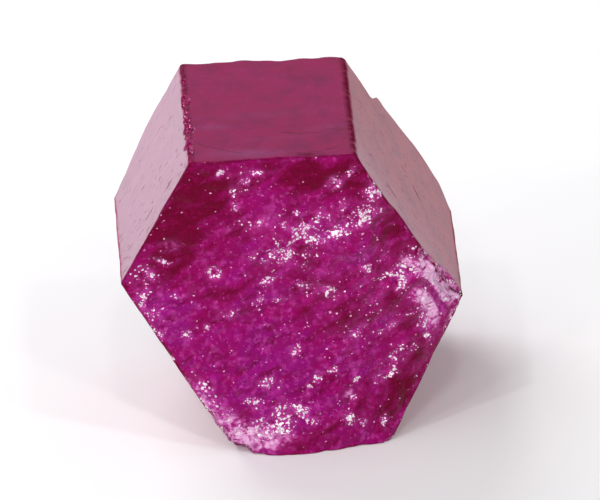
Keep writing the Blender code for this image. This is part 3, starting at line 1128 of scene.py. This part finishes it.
@dataclass
class Crystal:
    """The whole crystal: a closed skin over the prism, its two ends and its damage.

    Each nick has its place along Y, half its length and its depth. Zones shade the rough
    end, crimson above 0 and violet below, and clouds whiten it.
    """

    name: str = "beryl_crystal"
    prism: Prism = Prism()
    rough_end: RoughEnd = RoughEnd()
    broken_end: BrokenEnd = BrokenEnd()
    finish: BerylFinish = BerylFinish()
    end_steps: int = 136
    fine_rows: int = 4
    coarse_rows: int = 56
    crowding: float = 0.30
    lateral_wear: Wear = Wear(0.012, 0.030, 6.0, 41, -0.6, 0.9)
    end_wear: Wear = Wear(0.014, 0.050, 9.0, 43, -0.4, 1.1)
    chips: tuple[Bite, ...] = (
        Bite((3.90, -2.95, 2.75), (1.30, 1.30, 1.30), (0.0, 8.0, -20.0), 3, 0.006),
        Bite((2.82, -2.92, 3.92), (0.52, 0.50, 0.56), (0.0, -50.0, 15.0), 5, 0.008),
        Bite((1.95, -2.98, -0.22), (0.46, 0.52, 0.48), (0.0, 30.0, 0.0), 7, 0.006),
        Bite((-1.52, -3.12, -0.42), (0.78, 0.80, 0.72), (0.0, -38.0, 12.0), 9, 0.008),
        Bite((-2.10, 2.45, 6.22), (0.70, 0.55, 0.60), (10.0, 20.0, 0.0), 13, 0.006),
        Bite((-3.62, 1.85, 3.46), (0.62, 0.66, 0.70), (0.0, 0.0, 25.0), 15, 0.006),
    )
    rim_chips: tuple[RimChip, ...] = (
        RimChip(0, 0.06, 0.22, 0.34, 0.56, 61, 1.2),
        RimChip(0, 0.17, 0.30, 0.22, 0.50, 62),
        RimChip(0, 0.27, 0.20, 0.30, 0.44, 63, 1.3),
        RimChip(0, 0.36, 0.10, 0.16, 0.23, 64),
        RimChip(0, 0.52, 0.07, 0.10, 0.15, 65, 1.4),
        RimChip(0, 0.78, 0.06, 0.11, 0.16, 66),
        RimChip(0, 0.84, 0.10, 0.09, 0.17, 67, 1.5),
        RimChip(5, 0.93, 0.24, 0.24, 0.42, 68),
        RimChip(5, 0.82, 0.12, 0.12, 0.20, 69, 1.4),
        RimChip(5, 0.50, 0.07, 0.06, 0.11, 70, 2.0),
        RimChip(3, 0.56, 0.10, 0.10, 0.17, 71, 1.6),
        RimChip(3, 0.66, 0.12, 0.14, 0.22, 72, 1.8),
        RimChip(3, 0.77, 0.16, 0.18, 0.30, 73, 1.4),
        RimChip(3, 0.88, 0.20, 0.22, 0.38, 74, 1.3),
        RimChip(4, 0.10, 0.10, 0.16, 0.24, 75, 1.4),
        RimChip(2, 0.35, 0.05, 0.06, 0.09, 76, 1.5),
        RimChip(2, 0.72, 0.05, 0.05, 0.08, 77, 2.0),
    )
    nicks: tuple[Triple, ...] = (
        (-2.72, 0.14, 0.050),
        (-2.30, 0.30, 0.055),
        (-1.95, 0.20, 0.080),
        (-1.62, 0.14, 0.050),
        (-1.30, 0.34, 0.095),
        (-0.86, 0.20, 0.060),
        (-0.48, 0.15, 0.045),
        (0.02, 0.30, 0.080),
        (0.30, 0.22, 0.060),
        (1.12, 0.18, 0.050),
    )
    zones: tuple[Patch, ...] = (
        Patch(-1.98, 1.75, 1.30, 0.46, 60.0, 0.75),
        Patch(-1.20, 2.30, 0.70, 0.60, 0.0, 0.10),
        Patch(-0.30, 1.95, 0.70, 0.40, 20.0, -0.30),
        Patch(0.38, 2.66, 0.42, 0.34, 0.0, 1.00),
        Patch(1.22, 2.64, 0.40, 0.28, 0.0, 0.85),
        Patch(-2.32, -0.90, 0.60, 0.08, -57.0, 1.2),
        Patch(0.20, 0.00, 1.00, 0.60, 30.0, 0.12),
        Patch(1.95, 1.25, 0.60, 0.35, -55.0, 0.60),
        Patch(2.05, -1.50, 0.90, 0.45, 60.0, 0.45),
        Patch(-1.15, 0.30, 0.50, 0.25, 20.0, 0.30),
        Patch(-2.35, 0.00, 0.70, 0.45, -60.0, -0.55),
        Patch(-0.30, -1.50, 1.20, 0.80, 0.0, -0.55),
        Patch(2.72, -0.40, 0.34, 0.06, -68.0, -0.90),
    )
    clouds: tuple[Patch, ...] = (
        Patch(-2.22, 1.27, 0.17, 0.11, 0.0, 0.34),
        Patch(0.85, 2.39, 0.11, 0.10, 0.0, 0.9),
        Patch(0.99, -1.86, 0.15, 0.10, 20.0, 0.4),
        Patch(-0.50, 1.67, 0.28, 0.14, 20.0, 0.3),
        # These two rows paint a pale ring, a painted highlight on the ring pit's rim.
        Patch(-1.43, 0.71, 0.10, 0.08, -20.0, 1.2),
        Patch(-1.43, 0.71, 0.06, 0.045, -20.0, -1.6),
        Patch(-1.15, -2.35, 0.45, 0.16, -50.0, 0.7),
        Patch(-0.50, -2.66, 0.42, 0.16, 10.0, 0.7),
        Patch(2.66, 0.22, 0.26, 0.14, -48.0, 2.0),
        Patch(2.46, -0.20, 0.26, 0.14, -60.0, 1.5),
        Patch(2.60, -0.55, 0.30, 0.15, 90.0, 1.0),
        Patch(3.00, -0.25, 0.28, 0.20, -45.0, 1.3),
        Patch(2.30, 0.56, 0.34, 0.10, -30.0, 0.8),
        Patch(2.64, 0.22, 0.28, 0.11, -66.0, 3.0),
        Patch(2.72, -0.40, 0.34, 0.05, -68.0, -2.4),
        Patch(2.50, 0.05, 0.16, 0.06, -66.0, -2.2),
        Patch(-1.68, -1.90, 0.55, 0.10, -58.0, 0.8),
        Patch(-0.95, -2.55, 0.30, 0.22, 0.0, 0.9),
    )
    top_stain: Patch = Patch(0.35, -2.80, 0.26, 0.08, 0.0, 0.6)
    top_haze: tuple[Patch, ...] = (
        Patch(-0.70, -2.62, 0.80, 0.20, -6.0, 0.80),
        Patch(0.90, -1.45, 0.50, 0.14, 12.0, 0.45),
        Patch(-1.31, -1.23, 0.30, 0.14, 0.0, 0.60),
        Patch(-0.20, -0.70, 1.20, 0.16, 4.0, 0.25),
        Patch(0.10, -1.90, 1.00, 0.10, 6.0, 0.20),
    )
    nick_corner: int = 2
    nick_side: float = 120.0
    nick_roundness: float = 2.2
    nick_seed: int = 31
    face_band: float = 0.05
    top_height: float = 2.9
    rim_start: float = -2.6
    rim_reach: float = 1.3
    edge_width: float = 0.11
    end_rim_width: float = 0.04

    def warped(self, steps: int) -> Numbers:
        """Shares from 0 to 1 that crowd at both ends: t - crowding * sin(2 pi t) / 2 pi."""
        share = np.linspace(0.0, 1.0, steps + 1)
        return share - self.crowding * np.sin(math.tau * share) / math.tau

    def add_end(self, skin: Skin, end: RoughEnd | BrokenEnd, steps: int, part: Part) -> None:
        """Cover an end with three four-sided patches that share its middle.

        On each patch, with shares s and t, the place across the end is
        (1-s)(1-t) * middle + s(1-t) * corner1 + st * corner2 + (1-s)t * corner3.

        Args:
            skin: where the patches go.
            end: the end's surface.
            steps: steps along each side of a patch.
            part: the stretch of skin that this is.
        """
        corners = self.prism.corners()
        middle = corners.mean(axis=0)
        shares = self.warped(steps)
        s, t = (grid[..., None] for grid in np.meshgrid(shares, shares, indexing="ij"))
        for start in (0, 2, 4):
            one, two, three = (corners[(start + step) % SIDES] for step in (0, 1, 2))
            flat = (1 - s) * (1 - t) * middle + s * (1 - t) * one + s * t * two
            flat = flat + (1 - s) * t * three
            x, z = flat[..., 0], flat[..., 1]
            y = end.surface(x.ravel(), z.ravel()).reshape(x.shape)
            numbers = skin.add_points(np.stack((x, y, z), axis=-1), part)
            skin.add_grid(numbers)

    def add_long_face(self, skin: Skin, index: int) -> None:
        """Cover one long face: rows of points run from the rough to the broken end.

        The first rows have as many steps across as the rough end's rim, and the rest
        have half as many, as the broken end's rim has.

        Args:
            skin: where the patches go.
            index: which corner of the prism the face starts from.
        """
        corners = self.prism.corners()
        start, end = corners[index], corners[(index + 1) % SIDES]
        rows = self.fine_rows + self.coarse_rows
        ways = self.warped(rows)
        shares = self.warped(self.end_steps)
        for steps, way in ((1, ways[: self.fine_rows + 1]), (2, ways[self.fine_rows + 1 :])):
            share = shares[::steps]
            flat = start + share[:, None] * (end - start)
            front = self.rough_end.surface(flat[:, 0], flat[:, 1])
            back = self.broken_end.surface(flat[:, 0], flat[:, 1])
            y = front + way[:, None] * (back - front)
            x = np.broadcast_to(flat[:, 0], y.shape)
            z = np.broadcast_to(flat[:, 1], y.shape)
            numbers = skin.add_points(np.stack((x, y, z), axis=-1), Part.LONG_FACE)
            skin.add_grid(numbers)
            if steps == 1:
                last_fine = numbers[-1]
            else:
                skin.add_transition(last_fine, numbers[0])

    def wear_edges(self, points: Numbers) -> Numbers:
        """Blunt every edge with an uneven chamfer.

        Beside a long edge, a and b are a point's distances inside its two faces. Where
        wear - a - b = s is above 0, the point moves in by s/3 from both faces. At an
        end's rim, b is the distance behind the end, and the point moves s/2 both ways.

        Args:
            points: places from the axis, one row each.

        Returns:
            The moved points.
        """
        points = points.copy()
        normals = self.prism.normals()
        wear = self.lateral_wear.width(points)
        inside = self.prism.inside(points[:, 0], points[:, 2])
        for index in range(SIDES):
            after = (index + 1) % SIDES
            over = np.maximum(wear - inside[:, index] - inside[:, after], 0.0) / 3.0
            both = normals[index] + normals[after]
            points[:, 0] -= over * both[0]
            points[:, 2] -= over * both[1]
        wear = self.end_wear.width(points)
        inside = self.prism.inside(points[:, 0], points[:, 2])
        x, z = points[:, 0].copy(), points[:, 2].copy()
        behind = points[:, 1] - self.rough_end.surface(x, z)
        before = self.broken_end.surface(x, z) - points[:, 1]
        for index in range(SIDES):
            for depth, way in ((behind, 1.0), (before, -1.0)):
                over = np.maximum(wear - inside[:, index] - np.abs(depth), 0.0) / 2.0
                points[:, 0] -= over * normals[index, 0]
                points[:, 2] -= over * normals[index, 1]
                points[:, 1] += over * way
        return points

    def nick_bites(self) -> list[Bite]:
        """Place the small bites along the edge of the top and the upper left face.

        Each ball's middle lies outside the edge, half way between the two faces, by its
        radius less the nick's depth. The radius is nick_roundness * depth.

        Returns:
            One bite for each nick, placed from the resting face.
        """
        edge_x, edge_z = self.prism.corners()[self.nick_corner]
        side = math.radians(self.nick_side)
        bites = []
        for index, (y, half_length, depth) in enumerate(self.nicks):
            radius = self.nick_roundness * depth
            x = edge_x + math.cos(side) * (radius - depth)
            z = edge_z + math.sin(side) * (radius - depth) + self.prism.axis_height
            half, seed = (radius, half_length, radius), self.nick_seed + index
            bites.append(Bite((x, y, z), half, (0.0, 0.0, 0.0), seed, unevenness=0.08))
        return bites

    def damaged(self, points: Numbers) -> tuple[Numbers, Numbers, Numbers]:
        """Take the chips and nicks out of the worn skin, and keep it in the solid's box.

        Args:
            points: places above the resting face, one row each.

        Returns:
            The moved points, and which of them are chipped and nicked (0 or 1).
        """
        chipped, nicked = np.zeros(len(points)), np.zeros(len(points))
        chips = [chip.bite(self.prism, self.rough_end) for chip in self.rim_chips]
        for bites, touched in (([*self.chips, *chips], chipped), (self.nick_bites(), nicked)):
            for bite in bites:
                points, bitten = bite.push(points)
                np.maximum(touched, bitten, out=touched)
        low, high = (np.array(corner) / MM for corner in CAD_BOX)
        return np.clip(points, low, high), chipped, nicked

    def looks(
        self, flat: Numbers, parts: Numbers, chipped: Numbers, nicked: Numbers
    ) -> dict[str, Numbers]:
        """The numbers that the finish reads at each point.

        A place belongs to the right or left face by exp(-(distance from its plane /
        face_band)^2). The rim's share falls with exp(-(distance behind it / rim_reach)).
        Edges run where the distances inside two faces add up to under edge_width.

        Args:
            flat: places from the axis before any wear, one row each.
            parts: the stretch of skin of each point.
            chipped: which points are chipped.
            nicked: which points are nicked.

        Returns:
            One array of numbers for each attribute's name.
        """
        x, y, z = flat.T
        front = (parts == Part.ROUGH_END.value).astype(float)
        inside = self.prism.inside(x, z)
        right = np.exp(-((inside[:, 1] / self.face_band) ** 2)) * (1.0 - front)
        left = np.exp(-((inside[:, 3] / self.face_band) ** 2)) * (1.0 - front)
        top = (z > self.top_height) * (1.0 - front)
        rim = np.exp(-np.maximum(y - self.rim_start, 0.0) / self.rim_reach)
        etched = np.maximum((parts != Part.LONG_FACE.value).astype(float), chipped)
        haze = sum(patch.share(x, y) for patch in self.top_haze)
        corner = np.sort(inside, axis=1)[:, :2].sum(axis=1)
        ahead = inside.min(axis=1) + np.abs(y - self.rough_end.surface(x, z))
        edge = 1.0 - ease(corner, 0.0, self.edge_width)
        edge = np.maximum(edge, 1.0 - ease(ahead, 0.0, self.end_rim_width))
        zones = sum(zone.share(x, z) for zone in self.zones)
        clouds = sum(cloud.share(x, z) for cloud in self.clouds)
        return {
            "etched": np.maximum(etched, 0.6 * nicked),
            "glint": np.maximum(self.rough_end.glint(x, z) * front, 0.8 * chipped + 0.5 * nicked),
            # On the right face, the half share deepens the crimson as part of its painted shade.
            "crimson": zones * front + 0.5 * right,
            "cloudy": clouds * front + 0.5 * chipped,
            # The right face: matte, and browned by painted shade.
            "dull_and_painted_shade": right * (1.0 - chipped) * (1.0 - 0.25 * rim),
            # Painted reflection on the left face; also pale bands by the right face's rim and haze
            # on the top.
            "painted_reflection_and_haze": (left + 0.4 * right * rim + haze * top) * (1.0 - chipped),
            "scarred": right * (0.4 + 0.6 * rim) + left * (0.35 + 0.65 * rim) + 0.1,
            "edge": np.maximum(edge, 0.9 * nicked + self.top_stain.share(x, y) * top),
        }

    def build(self) -> bpy.types.Object:
        """Make the closed mesh, give it its numbers and its finish, and place it.

        Returns:
            The crystal's object.
        """
        skin = Skin()
        self.add_end(skin, self.rough_end, self.end_steps, Part.ROUGH_END)
        self.add_end(skin, self.broken_end, self.end_steps // 2, Part.BROKEN_END)
        for index in range(SIDES):
            self.add_long_face(skin, index)
        flat, parts, faces = skin.joined()
        points = self.wear_edges(flat)
        points[:, 2] += self.prism.axis_height
        points, chipped, nicked = self.damaged(points)

        mesh = bpy.data.meshes.new(self.name)
        mesh.from_pydata(points * MM, [], [face for group in faces for face in group.tolist()])
        self.point_outwards(mesh)
        for name, values in self.looks(flat, parts, chipped, nicked).items():
            attribute = mesh.attributes.new(name, "FLOAT", "POINT")
            attribute.data.foreach_set("value", values.astype(np.float32))
        mesh.materials.append(self.finish.material())
        crystal = placed(self.name, mesh)
        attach(crystal, "root")
        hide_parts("crystal")
        LOG.info("%s: %d points, %d faces", self.name, len(points), len(mesh.polygons))
        return crystal

    @staticmethod
    def point_outwards(mesh: bpy.types.Mesh) -> None:
        """Turn every face outwards.

        Args:
            mesh: a closed mesh.
        """
        shape = bmesh.new()
        shape.from_mesh(mesh)
        bmesh.ops.recalc_face_normals(shape, faces=shape.faces)
        shape.to_mesh(mesh)
        shape.free()


@dataclass(frozen=True)
class Floor:
    """The plain pale floor that the crystal lies on."""

    half_size: float = 1.5
    colour: Triple = (0.90, 0.895, 0.89)
    roughness: float = 0.9
    gloss: float = 0.1

    def build(self) -> bpy.types.Object:
        """Make the floor as one flat face at the height that the crystal rests on.

        Returns:
            The floor's object.
        """
        ends = np.array([-self.half_size, self.half_size])
        x, y = np.meshgrid(ends, ends)
        points = np.column_stack((x.ravel(), y.ravel(), np.zeros(4)))
        mesh = bpy.data.meshes.new("floor")
        mesh.from_pydata(points, [], [(0, 1, 3, 2)])
        material = bpy.data.materials.new("floor")
        material.use_nodes = True
        shader = material.node_tree.nodes["Principled BSDF"]
        shader.inputs["Base Color"].default_value = (*self.colour, 1.0)
        shader.inputs["Roughness"].default_value = self.roughness
        shader.inputs["Specular IOR Level"].default_value = self.gloss
        mesh.materials.append(material)
        floor = placed("floor", mesh)
        return floor


@dataclass(frozen=True)
class Lamp:
    """A round lamp that faces the crystal: direction, distance, width and light given."""

    name: str
    azimuth: float
    elevation: float
    distance: float
    width: float
    lit: float
    colour: Triple = (1.0, 1.0, 1.0)
    aim_height: float = 3.0

    def build(self) -> None:
        """Place the lamp; its power is pi * light * distance^2 for a small round lamp."""
        lamp = bpy.data.lights.new(self.name, "AREA")
        lamp.shape = "DISK"
        lamp.size = self.width
        lamp.energy = math.pi * self.lit * self.distance**2
        lamp.color = self.colour
        azimuth, elevation = math.radians(self.azimuth), math.radians(self.elevation)
        level = math.cos(elevation)
        x, y = math.sin(azimuth) * level, -math.cos(azimuth) * level
        away = Vector((x, y, math.sin(elevation)))
        thing = placed(self.name, lamp)
        thing.location = away * self.distance + Vector((0.0, 0.0, self.aim_height * MM))
        thing.rotation_euler = away.to_track_quat("Z", "Y").to_euler()
        thing.visible_camera = False


@dataclass(frozen=True)
class Studio:
    """The light: a dim surround, a soft box and small lamps that wake the glitter.

    The small lamps stand in rows in front of the crystal: each row has its elevation
    and the azimuths of its lamps.
    """

    surround: Triple = (0.28, 0.28, 0.29)
    soft_boxes: tuple[Lamp, ...] = (
        Lamp("soft_box_back", -143.0, 44.0, 0.065, 0.045, 1.9, (0.97, 0.96, 1.0)),
        Lamp("soft_box_left", -60.0, 55.0, 0.40, 0.45, 0.7),
    )
    rows: tuple[tuple[float, tuple[float, ...]], ...] = (
        (6.0, (-36.0, -12.0, 13.0, 38.0)),
        (17.0, (-46.0, -22.0, 3.0, 27.0)),
        (31.0, (-32.0, -8.0, 18.0, 44.0)),
        (50.0, (-38.0, 2.0, 36.0)),
    )
    spark_distance: float = 0.30
    spark_width: float = 0.020
    spark_light: float = 0.20

    def build(self) -> None:
        """Set the surround and place the lamps."""
        world = bpy.data.worlds.new("surround")
        world.use_nodes = True
        background = world.node_tree.nodes["Background"]
        background.inputs["Color"].default_value = (*self.surround, 1.0)
        bpy.context.scene.world = world
        for lamp in self.soft_boxes:
            lamp.build()
        sizes = (self.spark_distance, self.spark_width, self.spark_light)
        for elevation, azimuths in self.rows:
            for azimuth in azimuths:
                name = f"spark_{elevation:.0f}_{azimuth:.0f}"
                Lamp(name, azimuth, elevation, *sizes).build()
        bpy.context.scene.view_settings.view_transform = "Standard"


@dataclass(frozen=True)
class LongLens:
    """The camera: a long lens that looks down on the rough end, slightly rolled."""

    elevation: float = 22.0
    yaw: float = 1.59
    roll: float = 2.0
    lens: float = 1000.0
    sensor: float = 36.0
    frame_width: float = 11.05
    aim: Triple = (0.0, -2.75, 3.78)
    aim_right: float = 0.166
    aim_up: float = 0.148
    nearest: float = 0.01
    farthest: float = 10.0

    def build(self) -> None:
        """Place the camera so that the frame is frame_width millimetres wide at the aim."""
        yaw, elevation = math.radians(self.yaw), math.radians(self.elevation)
        ahead = Vector((math.sin(yaw), math.cos(yaw), 0.0))
        look = ahead * math.cos(elevation) - Vector((0.0, 0.0, math.sin(elevation)))
        side = Vector((math.cos(yaw), -math.sin(yaw), 0.0))
        above = side.cross(look)
        roll = math.radians(self.roll)
        right = side * math.cos(roll) - above * math.sin(roll)
        up = side * math.sin(roll) + above * math.cos(roll)
        aim = Vector(self.aim) + right * self.aim_right + up * self.aim_up
        distance = self.frame_width * self.lens / self.sensor
        camera = bpy.data.cameras.new("long_lens")
        camera.lens = self.lens
        camera.sensor_width = self.sensor
        camera.clip_start = self.nearest
        camera.clip_end = self.farthest
        turn = Matrix((right, up, -look)).transposed().to_4x4()
        thing = placed("long_lens", camera)
        thing.matrix_world = Matrix.Translation((aim - look * distance) * MM) @ turn
        bpy.context.scene.camera = thing


def main() -> None:
    """Build the crystal and the studio around it."""
    logging.basicConfig(level=logging.INFO, format="%(name)s: %(message)s")
    Crystal().build()
    Floor().build()
    Studio().build()
    LongLens().build()
    LOG.info("studio and camera are in place")


if __name__ == "__main__":
    main()
